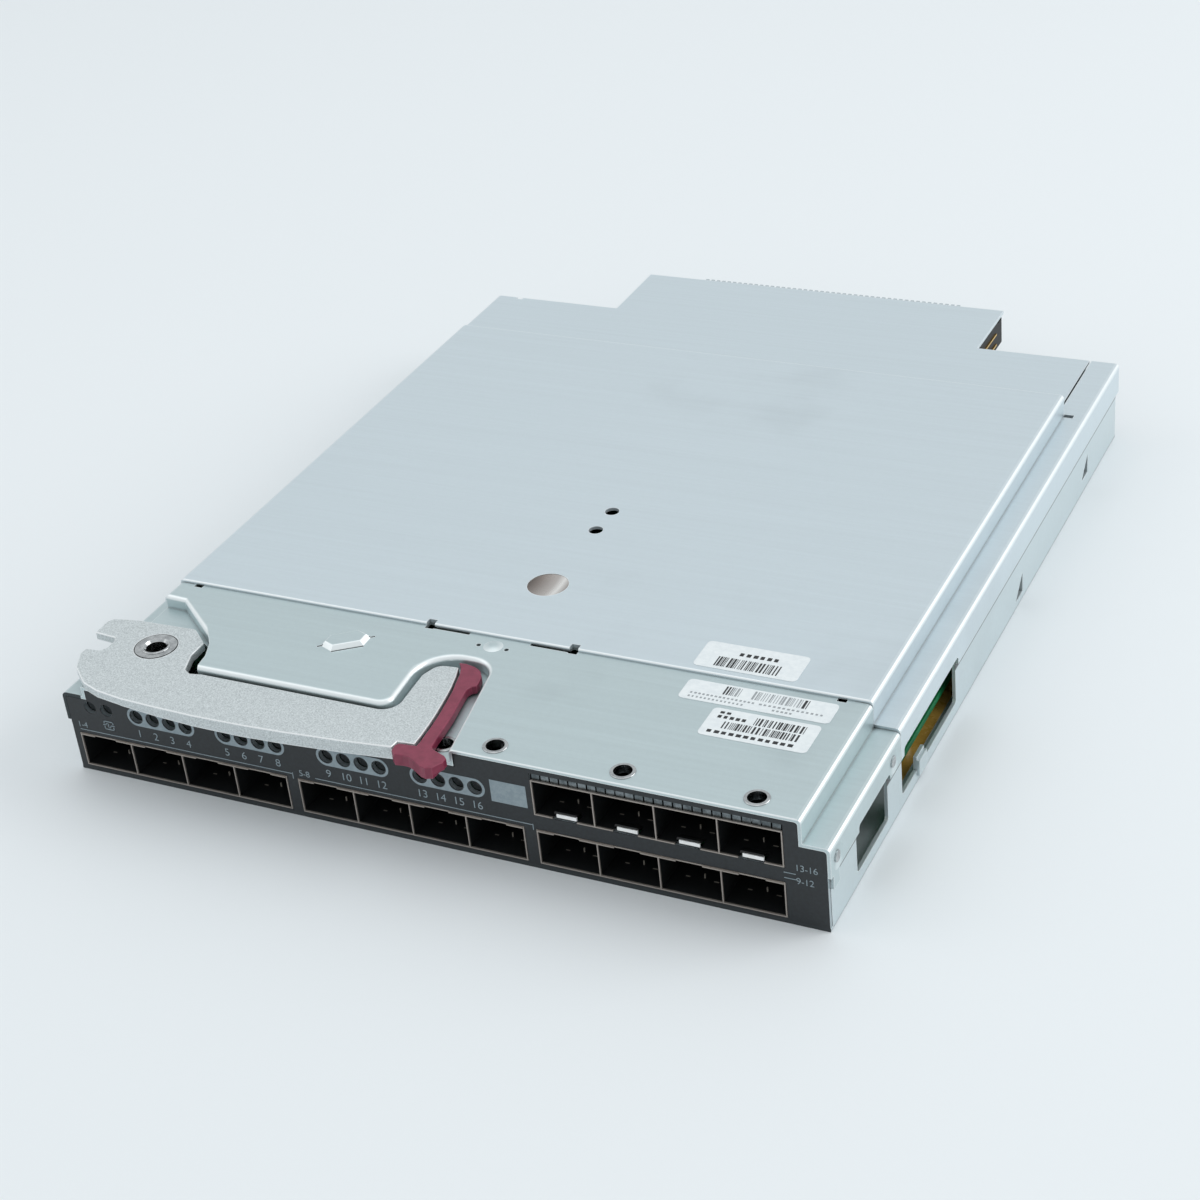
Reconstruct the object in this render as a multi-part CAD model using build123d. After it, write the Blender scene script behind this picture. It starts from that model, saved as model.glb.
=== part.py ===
"""Pass-through module for a server chassis bay: a flat steel box with sixteen
small transceiver ports, a swinging eject lever and a rear midplane tongue.
Millimetres, +Z up, front toward -Y, origin at the middle of the base underside."""
import os
from math import cos, radians, sin
from build123d import *

os.makedirs("parts", exist_ok=True)

# Chassis
module_w = 190.8
chassis_d = 223.4
deck_h = 27.5
ledge_drop = 6.0
ledge_w = 6.0
sheet = 0.8
bend_r = 1.1
fit = 0.1
joint_d = 43.0
strip_d = 32.8
tongue_w = 111.0
tongue_d = 24.9
flange_bottom = 14.0

# Width of the module for which the outlines of the lever, bay and marks are drawn
drawn_w = 190.8

# Lever bay in the front deck
bay_drop = 3.4
bay_front_d = 11.5
bay_right_x = 8.75
bay_rim_r = 1.2

# Ports: three rows of four across the front, and one more row above the last
rows_across = 3
ports_in_row = 4
left_margin = 3.0
right_margin = 10.2
row_gap = 3.3
cage_wall = 0.3
cage_d = 48.7
cage_proud = 0.1
floor_gap = 1.0
row_gap_z = 4.5
above_ports = 4.0
window_fit = 0.12
lip_w = 5.2
lip_d = 3.0
lip_rise = 1.2
spring_half = 4.1

# Front plate
plate_t = 1.2
led_drop = 8.9
led_pitch = 4.55
led_hole_r = 1.65
led_group_x = [-74.9, -50.7, -23.7, 0.3]
status_x = [-88.0, -83.4]
plate_return = 10.0

# Circuit board
board_t = 2.0
board_gap = 0.9
board_front_d = 4.0
board_side_gap = 1.2
low_board_z = 4.9
low_board_t = 1.6

# Lever and latch
lever_t = 2.0
lever_gap = 0.1
lever_rim_drop = 1.3
lever_edge_r = 0.35
lever_rim_t = 1.6
rim_clear = 0.3
pivot_x = -79.6
pivot_d = 17.6
pivot_bore_r = 2.5
pivot_barrel_r = 3.3
pivot_flange_r = 5.0
pivot_flange_t = 0.4
pivot_sink = 0.4
pivot_ring_rise = 0.25
pivot_play = 0.05
latch_lift = 0.4
latch_t = 2.0
latch_pin_r = 0.8

# Rear connectors
comb_teeth = 46
comb_pitch = 1.75
connector_proud = 1.2
comb_rise = 0.6


def back(d):
    """Y of a line that lies d behind the front face."""
    return d - chassis_d / 2


def block(x0, x1, d0, d1, z0, z1):
    """Box between two x values, two depths behind the front and two heights."""
    size = (x1 - x0, d1 - d0, z1 - z0)
    centre = ((x0 + x1) / 2, back((d0 + d1) / 2), (z0 + z1) / 2)
    return Pos(*centre) * Box(*size)


def rod(x, d, z0, z1, r):
    """Upright cylinder."""
    return Pos(x, back(d), (z0 + z1) / 2) * Cylinder(r, z1 - z0)


def bore(x, d0, d1, z, r):
    """Cylinder that lies front to back."""
    return Pos(x, back((d0 + d1) / 2), z) * Rot(90, 0, 0) * Cylinder(r, d1 - d0)


def cross(x0, x1, d, z, r):
    """Cylinder that lies from side to side."""
    return Pos((x0 + x1) / 2, back(d), z) * Rot(0, 90, 0) * Cylinder(r, x1 - x0)


def plate(points, z0, z1):
    """Flat piece with the given outline of (x, depth) points."""
    outline = Polyline(*[(x, back(d), z0) for x, d in points], close=True)
    return extrude(make_face(outline), z1 - z0, dir=(0, 0, 1))


def profile(points, d0, d1):
    """Piece with one cross-section of (x, z) points from depth d0 to d1."""
    outline = Polyline(*[(x, back(d0), z) for x, z in points], close=True)
    return extrude(make_face(outline), d1 - d0, dir=(0, 1, 0))


def wider(points):
    """Outline points moved sideways in step with the module's width."""
    return [(x * wide, d) for x, d in points]


def rounded(corners, z):
    """Flat face of (x, depth, corner radius) points at a height."""
    face = make_face(Polyline(*[(x * wide, back(d), z) for x, d, r in corners], close=True))
    for x, d, r in corners:
        if r > 0:
            corner = face.vertices().sort_by_distance((x * wide, back(d), z))[0]
            face = fillet(corner, r)
    return face


def along_top(shape, z, x0, x1, d0, d1):
    """Level edges of a shape at a height, within a range of x and depth."""
    return [e for e in shape.edges() if abs(e.bounding_box().min.Z - z) < fit / 10
            and abs(e.bounding_box().max.Z - z) < fit / 10
            and x0 < e.center().X < x1 and back(d0) < e.center().Y < back(d1)]


def profile_x(points, x0, x1):
    """Piece with one cross-section of (depth, z) points from side to side."""
    outline = Polyline(*[(x0, back(d), z) for d, z in points], close=True)
    return extrude(make_face(outline), x1 - x0, dir=(1, 0, 0))


def save(shape, name):
    export_step(shape, "parts/" + name + ".step")


# Heights and half widths that follow from the sizes above
wide = module_w / drawn_w
half_w = module_w / 2
deck_half = half_w - ledge_w
ledge_h = deck_h - ledge_drop
wall_out = half_w - sheet
wall_in = wall_out - sheet
cover_h = deck_h + sheet
cover_ledge_h = ledge_h + sheet
under_deck = deck_h - sheet
under_ledge = ledge_h - sheet
bay_floor = deck_h - bay_drop
under_bay = bay_floor - sheet
strip_start = chassis_d - strip_d
port_pitch = (module_w - left_margin - right_margin - (rows_across - 1) * row_gap) / (
    rows_across * ports_in_row)
port_w = port_pitch - cage_wall
row_w = ports_in_row * port_pitch
lower_port_z = sheet + floor_gap
port_h = (deck_h - lower_port_z - row_gap_z - above_ports) / 2
upper_port_z = lower_port_z + port_h + row_gap_z
first_port_x = left_margin - half_w
lower_rows_x = [first_port_x + i * (row_w + row_gap) for i in range(rows_across)]
upper_row_x = lower_rows_x[-1]
board_z = lower_port_z + port_h + cage_wall + board_gap
board_top = board_z + board_t
led_z = deck_h - led_drop
lever_bottom = bay_floor + lever_gap
lever_top = lever_bottom + lever_t

# Lever bay outline with its corner radii: open to the left side and to the front
bay_front_y = -1.0
bay_side_x = -deck_half / wide - 2.0
bay_corners = [(bay_right_x, bay_front_y, 0), (2.4, 33.5, 6.0), (-14.6, 33.5, 9.0),
               (-12.7, bay_front_d, 3.0), (-63.8, bay_front_d, 0), (-64.4, 16.0, 0), (-66.4, 20.8, 2.0),
               (-68.9, 24.1, 0), (-83.6, 36.0, 0), (bay_side_x, 36.4, 0), (bay_side_x, bay_front_y, 0)]


def shoulder(half, top, ledge_half, ledge, bottom, r):
    """Cross-section of the stepped roof, with rounded shoulders."""
    arc = [30, 60]
    right = [(ledge_half, bottom), (ledge_half, ledge - r)]
    right += [(ledge_half - r + r * cos(radians(a)), ledge - r + r * sin(radians(a))) for a in arc]
    right += [(ledge_half - r, ledge), (half, ledge), (half, top - r)]
    right += [(half - r + r * cos(radians(a)), top - r + r * sin(radians(a))) for a in arc]
    right += [(half - r, top)]
    left = [(-x, z) for x, z in reversed(right)]
    return right + left


def roof(top, ledge, d0, d1):
    """Bent roof sheet with its side flanges, as the skin of the stepped section."""
    skin = shoulder(deck_half, top, half_w, ledge, flange_bottom, bend_r)
    room = shoulder(deck_half - sheet, top - sheet, wall_out, ledge - sheet,
                    flange_bottom - sheet, bend_r - sheet / 2)
    return profile(skin, d0, d1) - profile(room, d0 - sheet, d1 + sheet)


# Side windows, rivets and lances of both side walls: (depth, width, bottom, height)
window_front = (16.4, 19.4, 3.1, 12.6)
window_back = (45.0, 37.6, 3.2, 12.9)
rivet_d = [4.2, 38.4]
rivet_z = ledge_h - 4.6
window_r = 1.0
rivet_dish_r = 2.9
rivet_hole_r = 1.3
lance_places = [(130.0, 2.0), (189.5, 4.0)]
lance_w = 5.6
lance_h = 5.2


def side_openings():
    """Window and lance cutters that pass through both side walls."""
    cuts = []
    for d, w, z, h in (window_front, window_back):
        hole = block(-half_w - 1, half_w + 1, d, d + w, z, z + h)
        cuts.append(fillet(hole.edges().filter_by(Axis.X), window_r))
    for d, z in lance_places:
        points = [(back(d), z), (back(d + lance_w), z), (back(d + lance_w), z + lance_h)]
        outline = Polyline(*[(-half_w - 1, y, h) for y, h in points], close=True)
        cuts.append(extrude(make_face(outline), module_w + 2, dir=(1, 0, 0)))
    return cuts


# Base pan: floor, two side walls, rear wall with the connector opening
rear_gap_x = tongue_w / 2 + 1.0
wall_top = under_ledge - bend_r
base = block(-wall_out, wall_out, 0, chassis_d, 0, sheet)
for side in (-1, 1):
    x0, x1 = sorted((side * wall_in, side * wall_out))
    base += block(x0, x1, plate_t + fit, chassis_d, 0, wall_top)
    x0, x1 = sorted((side * rear_gap_x, side * wall_out))
    base += block(x0, x1, chassis_d - sheet, chassis_d, 0, wall_top)
base += block(-wall_out, wall_out, chassis_d - sheet, chassis_d, 0, board_z - 5.0)
for cut in side_openings():
    base -= cut
hook_d, hook_w, hook_h = 54.8, 5.0, 3.4
for side in (-1, 1):
    x0, x1 = sorted((side * wall_in, side * wall_out))
    foot = window_back[2]
    base += block(x0, x1, hook_d, hook_d + hook_w, foot - sheet, foot + hook_h)
    x0, x1 = sorted((side * wall_out, side * (half_w - fit)))
    base += block(x0, x1, hook_d, hook_d + hook_w, foot - 2 * sheet, foot + hook_h - sheet)
    x0, x1 = sorted((side * (wall_in - 1), side * (wall_out + 1)))
    for d in rivet_d:
        base -= cross(x0, x1, d, rivet_z, rivet_hole_r)
standoff_x = half_w - 9.4
standoff_d = [66.0, chassis_d * 0.627, chassis_d - 11.4]
standoff_places = [(s * standoff_x, d) for d in standoff_d for s in (-1, 1)]
stake_r = 1.6
for x, d in standoff_places:
    base -= rod(x, d, -1, sheet + 1, stake_r)

# Front deck: roof sheet over the ports with the sunk lever bay
deck = roof(deck_h, ledge_h, 0, joint_d - fit)
bay_face = rounded(bay_corners, under_bay)
bay_room = block(-half_w - 3, half_w, -3, joint_d - 3, bay_floor, deck_h)
around_bay = bay_room - Pos(0, 0, sheet) * extrude(bay_face, bay_drop, dir=(0, 0, 1))
around_bay = fillet(along_top(around_bay, deck_h, -63.5 * wide, (bay_right_x + 1) * wide, fit, joint_d - 4),
                    bay_rim_r)
around_bay = fillet(along_top(around_bay, deck_h, bay_side_x * wide, -69.0 * wide, 20.0, joint_d - 4), bay_rim_r)
bay_cut = bay_room - around_bay
tray = extrude(offset(bay_face, sheet, kind=Kind.INTERSECTION), bay_drop + fit, dir=(0, 0, 1))
tray &= block(-deck_half, half_w, 0, joint_d - fit, under_bay, under_deck + fit)
deck = deck + tray - bay_cut
front_edge_r = 0.35
deck = fillet(along_top(deck, deck_h, bay_right_x * wide, half_w, -fit, fit), front_edge_r)
nose_slot = wider([(-63.4, 10.2), (-67.6, 11.2), (-70.6, 20.0), (-72.4, 25.4), (-69.8, 24.0),
                   (-66.3, 20.2), (-64.9, 14.0)])
deck -= plate(nose_slot, under_bay - 1, bay_floor + 1)
tuck_d = 6.0
tuck_half = deck_half - 4.0
deck += block(-tuck_half, tuck_half, joint_d - 4 * fit, joint_d + tuck_d, under_deck, deck_h)
for side in (-1, 1):
    x0, x1 = sorted((side * wall_out, side * half_w))
    deck += block(x0, x1, plate_t + fit, plate_t + 3.4, flange_bottom - 3.6, flange_bottom + 1)
    x0, x1 = sorted((side * (wall_in - 1), side * (half_w + 1)))
    for d in rivet_d:
        deck -= cross(x0, x1, d, rivet_z, rivet_hole_r)
for cut in side_openings():
    deck -= cut
notch_half = 18.0
notch_w = 2.2
seam_slot = 0.7
for x in (-83.6 * wide, -notch_half - notch_w / 2, notch_half, 82.6 * wide):
    deck -= block(x - notch_w / 2, x + notch_w / 2, joint_d - 1.1, joint_d + 1.6, under_deck - 1, deck_h + 1)
for x0, x1 in ((-notch_half, -8.6), (7.2, notch_half)):
    deck -= block(x0, x1, joint_d - seam_slot - fit, joint_d + seam_slot, under_deck - 1, deck_h + 1)
eyelet_r = 2.1
eyelet_barrel_r = 2.5
eyelet_flange_r = 2.85
eyelet_flange_t = 0.25
eyelet_d = 4.3
eyelet_pitch = 30.2 * wide
first_eyelet_x = 17.9 * wide
eyelet_x = [first_eyelet_x + i * eyelet_pitch for i in range(3)]
bay_eyelet = (4.3 * wide, 5.6)
pivot_x *= wide
for x in eyelet_x:
    deck -= rod(x, eyelet_d, under_deck - 1, deck_h + 1, eyelet_barrel_r)
deck -= rod(bay_eyelet[0], bay_eyelet[1], under_bay - 1, bay_floor + 1, eyelet_barrel_r)
deck -= rod(pivot_x, pivot_d, under_bay - 1, bay_floor + 1, pivot_barrel_r)
lug_x, lug_d, lug_turn = -35.2 * wide, 31.2, 35.0
lug_l, lug_w, lug_rise = 11.6, 6.2, 1.1
lug_slit = 0.4
lug_edge_r = 0.5
lug_hex = [(-lug_l / 2, 0), (-lug_l / 2 + 2, -lug_w / 2), (lug_l / 2 - 2, -lug_w / 2),
           (lug_l / 2, 0), (lug_l / 2 - 2, lug_w / 2), (-lug_l / 2 + 2, lug_w / 2)]
lug_top = [(x * 0.82, y * 0.74) for x, y in lug_hex]
lug_low = make_face(Polyline(*[(x, y, 0) for x, y in lug_hex], close=True))
lug_high = make_face(Polyline(*[(x, y, lug_rise) for x, y in lug_top], close=True))
lug_place = Pos(lug_x, back(lug_d), deck_h) * Rot(0, 0, lug_turn)
lug = loft([lug_low, lug_high])
deck += lug_place * fillet(lug.edges().group_by(Axis.Z)[-1], lug_edge_r)
deck -= lug_place * Pos(0, -(lug_w + lug_slit) / 2, -sheet / 2) * Box(lug_l - 4, lug_slit, 2 * sheet)
for end in (-1, 1):
    deck -= lug_place * Pos(end * (lug_l + lug_slit) / 2, 0, -sheet / 2) * Box(1.6, lug_slit, 2 * sheet)
stop_r, stop_rise, stop_d = 2.3, 0.6, 39.4
dome_r = (stop_r ** 2 + stop_rise ** 2) / (2 * stop_rise)
dome = Pos(-0.8, back(stop_d), deck_h + stop_rise - dome_r) * Sphere(dome_r)
deck += dome & block(-5, 5, stop_d - 4, stop_d + 3, under_deck, deck_h + 1)
dent_r = 0.55
for x in (-4.4, 2.8):
    deck -= rod(x, stop_d - 0.4, under_deck - 1, deck_h + 1, dent_r)

# Main cover: roof sheet over the board, rear strip and midplane tongue
cover = roof(cover_h, cover_ledge_h, joint_d, strip_start)
cover_edge_r = 0.5
cover = fillet(along_top(cover, cover_h, -deck_half, deck_half, joint_d - fit, joint_d + fit), cover_edge_r)
slope_wall = block(-deck_half, deck_half, strip_start - sheet, strip_start,
                   cover_ledge_h - sheet, cover_h - bend_r)
cover += slope_wall
strip = profile(shoulder(deck_half - sheet, cover_ledge_h, half_w, cover_ledge_h,
                         flange_bottom, bend_r)[:5]
                + shoulder(deck_half - sheet, cover_ledge_h, half_w, cover_ledge_h,
                           flange_bottom, bend_r)[-5:], strip_start, chassis_d)
strip -= block(-wall_out, wall_out, strip_start - 1, chassis_d + 1, 0, cover_ledge_h - sheet)
cover += strip
cover += block(-tongue_w / 2, tongue_w / 2, chassis_d - 1, chassis_d + tongue_d,
               cover_ledge_h - sheet, cover_ledge_h)
for cut in side_openings():
    cover -= cut
relief_w = 0.5
rail_x = deck_half - 1.9
cover -= block(rail_x - relief_w / 2, rail_x + relief_w / 2, strip_start + 6.0, chassis_d + 1,
               cover_ledge_h - 2, cover_h + 1)
cover -= block(half_w - 6.1, half_w - 3.5, strip_start - 0.9, strip_start + 0.7, cover_ledge_h - 2, cover_ledge_h + 1)
cover -= block(6.8 - half_w, 8.6 - half_w, chassis_d - 1.0, chassis_d + 1, cover_ledge_h - 2, cover_ledge_h + 1)
vent_r = 1.8
vent_d = 92.9
vent_pitch = 9.5
for d in (vent_d, vent_d + vent_pitch):
    cover -= rod(0, d, cover_h - 2, cover_h + 1, vent_r)
disc_r = 5.0
disc_d = 66.3
cover -= rod(0, disc_d, cover_h - 2, cover_h + 1, disc_r)
for x in (-notch_half - notch_w / 2, notch_half):
    cover -= block(x - notch_w / 2, x + notch_w / 2, joint_d - 1, joint_d + 1.6, cover_h - 2, cover_h + 1)

# Polished disc pressed into the cover, dished on top
disc_t = sheet + 0.4
dish_sphere_r = 26.0
disc = rod(0, disc_d, cover_h - disc_t, cover_h - fit, disc_r)
disc -= Pos(0, back(disc_d), cover_h - 0.55 + dish_sphere_r) * Sphere(dish_sphere_r)

# Front plate: pierced face with port windows and light holes, and a folded top return
face_half = wall_out - fit
raised_half = deck_half - sheet - fit
raised_left_x = bay_right_x * wide + sheet + 0.15
face_low = under_ledge - fit
face_bay = under_bay - fit
face_top = under_deck - fit
face = block(-face_half, face_half, 0, plate_t, sheet, face_low)
face += block(-raised_half, raised_left_x, 0, plate_t, sheet, face_bay)
face += block(raised_left_x, raised_half, 0, plate_t, sheet, face_top)
corners = [e for e in face.edges().filter_by(Axis.Y)
           if abs(abs(e.center().X) - face_half) < fit / 2 and e.center().Z > face_low - fit
           or abs(abs(e.center().X) - raised_half) < fit / 2 and e.center().Z > face_low + sheet]
face = fillet(corners, bend_r - sheet / 2)
face += block(raised_left_x, raised_half - bend_r, plate_t / 2, plate_return, under_deck - sheet, under_deck)
face += block(bend_r - raised_half, raised_left_x, plate_t / 2, plate_return, under_bay - sheet, under_bay)
for x in lower_rows_x:
    face -= block(x - cage_wall - window_fit, x + row_w + window_fit, -1, plate_t + 1,
                  lower_port_z - cage_wall - window_fit, lower_port_z + port_h + cage_wall + window_fit)
gasket_h = 1.7
upper_window_top = upper_port_z + port_h + cage_wall + gasket_h
face -= block(upper_row_x - cage_wall - window_fit, upper_row_x + row_w + window_fit, -1, plate_t + 1,
              upper_port_z - cage_wall - window_fit, upper_window_top)
light_x = [[(x + i * led_pitch) * wide for i in range(ports_in_row)] for x in led_group_x]
status_x = [x * wide for x in status_x]
for x in sum(light_x, []) + status_x:
    face -= bore(x, -1, plate_t + 1, led_z, led_hole_r)
for x in eyelet_x:
    face -= rod(x, eyelet_d, under_deck - 2 * sheet, under_deck + 1, eyelet_barrel_r)
face -= rod(bay_eyelet[0], bay_eyelet[1], under_bay - 2 * sheet, under_bay + 1, eyelet_barrel_r)
save(face, "front_plate")


# Port cages: folded boxes of thin sheet with four bays, open at the front
def cage(x, z, floor_side):
    """One row of four ports; floor_side is +1 where the board lies above it."""
    z0, z1 = z - cage_wall, z + port_h + cage_wall
    body = block(x - cage_wall, x + row_w, -cage_proud, cage_d, z0, z1)
    board_face = board_z if floor_side > 0 else board_top
    for i in range(ports_in_row):
        x0 = x + i * port_pitch
        body -= block(x0, x0 + port_w, -1, cage_d - cage_wall, z, z + port_h)
        if floor_side < 0:
            mid = x0 + port_w / 2
            body -= block(mid - lip_w / 2 - cage_wall, mid + lip_w / 2 + cage_wall,
                          -1, lip_d - cage_wall, z0 - fit, z + fit)
            lip = profile_x([(cage_wall, z0 + lip_rise), (cage_wall + 0.4, z + lip_rise),
                             (lip_d + cage_wall, z), (lip_d + cage_wall, z0), (lip_d - cage_wall, z0)],
                            mid - lip_w / 2, mid + lip_w / 2)
            body += lip
    if floor_side > 0:
        spring_z = z + port_h - cage_wall / 2
        for i in range(ports_in_row + 1):
            wall = x + i * port_pitch - cage_wall / 2
            x0, x1 = max(x, wall - spring_half), min(x + row_w - cage_wall, wall + spring_half)
            body += block(x0, x1, -3 * cage_proud, cage_wall, spring_z, spring_z + cage_wall)
    wall_z0, wall_z1 = sorted((z0 if floor_side < 0 else z1, board_face))
    for leg_x in (x - cage_wall, x + row_w - cage_wall):
        body += block(leg_x, leg_x + cage_wall, board_front_d + 1, cage_d, wall_z0, wall_z1)
    return body


cages = {
    "cage_lower_left": cage(lower_rows_x[0], lower_port_z, 1),
    "cage_lower_middle": cage(lower_rows_x[1], lower_port_z, 1),
    "cage_lower_right": cage(lower_rows_x[2], lower_port_z, 1),
    "cage_upper_right": cage(upper_row_x, upper_port_z, -1),
}
for name, shape in cages.items():
    save(shape, name)

# Host connectors: a slotted plastic block at the back of each port
host_side_gap, host_l, host_h, host_slot = 1.2, 9.0, 5.6, 1.3
host_w = port_w - 2 * host_side_gap
host_back = cage_d - cage_wall - 0.5


def host_row(x, z, floor_side):
    """Four connectors of one cage, each against the board side of its port."""
    solids = []
    for i in range(ports_in_row):
        mid = x + i * port_pitch + port_w / 2
        z0 = z + port_h - host_h if floor_side > 0 else z
        piece = block(mid - host_w / 2, mid + host_w / 2, host_back - host_l, host_back, z0, z0 + host_h)
        piece -= block(mid - host_w / 2 + 1.2, mid + host_w / 2 - 1.2, host_back - host_l - 1,
                       host_back - 2.0, z0 + host_h / 2 - host_slot / 2, z0 + host_h / 2 + host_slot / 2)
        solids.append(piece)
    return Compound(solids)


hosts = {
    "host_connectors_lower_left": host_row(lower_rows_x[0], lower_port_z, 1),
    "host_connectors_lower_middle": host_row(lower_rows_x[1], lower_port_z, 1),
    "host_connectors_lower_right": host_row(lower_rows_x[2], lower_port_z, 1),
    "host_connectors_upper_right": host_row(upper_row_x, upper_port_z, -1),
}
for name, shape in hosts.items():
    save(shape, name)

# Spring finger strip between the upper cage and the deck
finger_n = 26
finger_gap = 0.35
strip_z = upper_port_z + port_h + cage_wall
finger_pitch = row_w / finger_n
gasket = block(upper_row_x, upper_row_x + row_w - cage_wall, 2.2, 6.0, strip_z, strip_z + 0.25)
for i in range(finger_n):
    x = upper_row_x + i * finger_pitch
    leaf = [(x, 0.4), (x + finger_pitch - finger_gap, 0.4), (x + finger_pitch - finger_gap, 2.4), (x, 2.4)]
    gasket += plate(leaf, strip_z, strip_z + 0.25)
    gasket += block(x, x + finger_pitch - finger_gap, 0.4, 0.65, strip_z, upper_window_top - fit)
save(gasket, "gasket_strip")

# Main circuit board, wide under the cover and narrow in the tongue
board_half = wall_in - board_side_gap
board_rear_d = chassis_d - 3.0
board_tongue_d = chassis_d + tongue_d - 10.3
board = block(-board_half, board_half, board_front_d, board_rear_d, board_z, board_top)
board += block(-tongue_w / 2 + 2, tongue_w / 2 - 2, board_rear_d - 1, board_tongue_d, board_z, board_top)
screw_r = 1.5
for x, d in standoff_places:
    board -= rod(x, d, board_z - 1, board_top + 1, screw_r + fit)

post_r = 2.6
post_foot_r = 3.3
standoffs, screws = [], []
for x, d in standoff_places:
    post = rod(x, d, sheet, board_z, post_r) + rod(x, d, sheet, low_board_z, post_foot_r)
    post += rod(x, d, fit, sheet + fit, stake_r)
    post -= rod(x, d, board_z - 6.0, board_z + 1, screw_r)
    standoffs.append(post)
    screw = rod(x, d, board_z - 5.0, board_top + fit, screw_r) + rod(x, d, board_top, board_top + 1.7, 2.8)
    screw -= Pos(x, back(d), board_top + 1.7) * Box(3.2, 0.7, 1.2)
    screw -= Pos(x, back(d), board_top + 1.7) * Box(0.7, 3.2, 1.2)
    screws.append(screw)
save(Compound(standoffs), "board_standoffs")
save(Compound(screws), "board_screws")


# Lower board behind the cages, which rests on the feet of the front and middle posts
low_half = wall_in - 2.5
low_front_d = cage_d + 1.8
low_rear_d = standoff_d[1] + 10.0
low_board = block(-low_half, low_half, low_front_d, low_rear_d, low_board_z, low_board_z + low_board_t)
for x, d in standoff_places[:4]:
    low_board -= rod(x, d, low_board_z - 1, low_board_z + low_board_t + 1, post_r + fit)
save(low_board, "lower_board")

# Amber insulating film on the floor under the lower board
film_t = 0.2
film = block(-wall_in + 2.0, wall_in - 2.0, low_front_d, low_rear_d, sheet, sheet + film_t)
for x, d in standoff_places[:4]:
    film -= rod(x, d, 0, sheet + 1, post_foot_r + fit)
save(film, "floor_film")


# Light pipes: clear rods from the board lights to the front holes
pipe_r = led_hole_r - 0.1
pipe_front_d = plate_t + 0.15
lamp_d = 20.0
lamp_h = 0.8


def pipe_set(xs):
    """One moulded set of rods joined by a bar that stands on the board."""
    bar_d = 12.0
    shape = block(xs[0] - pipe_r, xs[-1] + pipe_r, bar_d, bar_d + 2.4, led_z - pipe_r, led_z + pipe_r * 0.6)
    for x in xs:
        shape += bore(x, pipe_front_d, lamp_d + pipe_r, led_z, pipe_r)
        shape += rod(x, lamp_d, board_top + lamp_h + 0.2, led_z, pipe_r * 0.9)
    for x in (xs[0], xs[-1]):
        shape += rod(x, bar_d + 1.2, board_top, led_z - pipe_r + 0.4, 0.9)
    return shape


save(pipe_set(status_x), "light_pipe_status")
for xs, name in zip(light_x, ("1_to_4", "5_to_8", "9_to_12", "13_to_16")):
    save(pipe_set(xs), "light_pipe_" + name)
lamps = [block(x - 0.8, x + 0.8, lamp_d - 0.5, lamp_d + 0.5, board_top, board_top + lamp_h)
         for x in sum(light_x, []) + status_x]
save(Compound(lamps), "board_lights")

# Chips with a finned heat sink, power converter, coils and capacitors on the board
chip_w, chip_h, chip_d = 17.0, 1.6, 76.0
chip_x = [x * wide for x in (-64.0, -4.0, 34.0, 72.0)]
chip_top = board_top + chip_h


def on_board(x, d, w, length, h, low=board_top):
    """Box centred at x that stands on the board or on something else."""
    return block(x - w / 2, x + w / 2, d, d + length, low, low + h)


for name, x in zip(("left", "middle", "right", "far_right"), chip_x):
    save(on_board(x, chip_d, chip_w, chip_w, chip_h), "retimer_chip_" + name)
control_x, control_d, control_w = -27.0 * wide, 112.0, 14.0
save(on_board(control_x, control_d, control_w, control_w, chip_h), "control_chip")
sink_w, sink_l, sink_plate, sink_room = 36.0, 22.0, 2.0, 2.9
sink_x, sink_d = chip_x[0] - 2.0, chip_d - 2.0
fin_n, fin_t = 9, 1.2
fin_pitch = (sink_w - fin_t) / (fin_n - 1)
sink = on_board(sink_x, sink_d, sink_w, sink_l, sink_plate, chip_top)
for i in range(fin_n):
    sink += on_board(sink_x + (i - (fin_n - 1) / 2) * fin_pitch, sink_d, fin_t, sink_l,
                     deck_h - sink_room - chip_top, chip_top)
save(sink, "heat_sink")
converter_x, converter_d, converter_w, converter_l = -51.0 * wide, 148.0, 58.0, 36.0
brick_d, brick_l = converter_d + 5.0, 26.0
converter = on_board(converter_x, converter_d, converter_w, converter_l, 1.6)
for offset, w, h in ((-12.0, 22.0, 8.0), (14.0, 18.0, 6.0)):
    converter += on_board(converter_x + offset, brick_d, w, brick_l, h)
save(converter, "power_converter")
coil_w, coil_h, coil_d = 12.0, 6.0, 160.0
save(Compound([on_board(x * wide, coil_d, coil_w, coil_w, coil_h) for x in (10.0, 28.0)]), "power_coils")
can_r, can_h, can_d = 4.0, 9.0, 154.0
save(Compound([rod(x * wide, can_d, board_top, board_top + can_h, can_r) for x in (44.0, 54.0, 64.0, 74.0)]),
     "capacitors")

# Rear connectors under the tongue
comb_w = comb_teeth * comb_pitch
comb_x0 = -comb_w / 2 + 2.4
tongue_rear = chassis_d + tongue_d
roof_z = cover_ledge_h - sheet
signal = block(comb_x0, comb_x0 + comb_w, board_rear_d + 5.0, tongue_rear - 0.6, board_top, roof_z)
signal += block(comb_x0, comb_x0 + comb_w, board_tongue_d + fit, tongue_rear - 0.6, 8.0, roof_z)
tooth_w = comb_pitch * 0.55
for i in range(comb_teeth):
    x = comb_x0 + (i + 0.5) * comb_pitch
    signal += block(x - tooth_w / 2, x + tooth_w / 2, tongue_rear - 1.0, tongue_rear + connector_proud,
                    9.0, roof_z - 0.2)
    signal += block(x - tooth_w / 2, x + tooth_w / 2, tongue_rear + fit, tongue_rear + connector_proud,
                    9.0, roof_z + comb_rise)
save(signal, "signal_connector")
power_x0 = comb_x0 + comb_w + 2.6
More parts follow.
